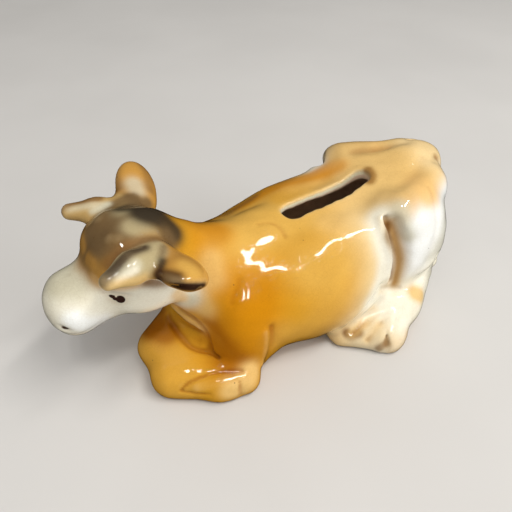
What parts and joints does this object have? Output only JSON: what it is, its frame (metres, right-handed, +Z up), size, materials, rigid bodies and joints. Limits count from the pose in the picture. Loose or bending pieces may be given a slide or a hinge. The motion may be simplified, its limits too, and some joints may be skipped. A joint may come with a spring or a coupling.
{
  "type": "figural animal coin bank",
  "caption": "Hollow glazed ceramic cow lying down, with a coin slot along its back, applied horns and ears, and a pull-out stopper in its base.",
  "frame": {"origin": "on the table, under the middle of the object's box", "axes": "+Z up, the cow faces -X, its left side is -Y"},
  "size_m": [0.172, 0.0962, 0.0723],
  "materials": {
    "glazed_body": "clear gloss glaze over airbrushed honey amber, cream, white and grey-brown",
    "glazed_horn": "clear gloss glaze over cream shaded with grey-brown",
    "glazed_ear": "clear gloss glaze over orange-brown, dark brown inside",
    "stopper": "soft moulded rubber, satin"
  },
  "bodies": {
    "bank": {"ceramic_body": "glazed_body", "horn_left": "glazed_horn", "horn_right": "glazed_horn", "ear_left": "glazed_ear", "ear_right": "glazed_ear"},
    "stopper": {"base_stopper": "stopper"}
  },
  "joints": [
    {"name": "stopper_pull", "type": "slide", "parent": "bank", "child": "stopper", "axis": [0, 0, -1], "range_m": [0, 0.025]}
  ]
}
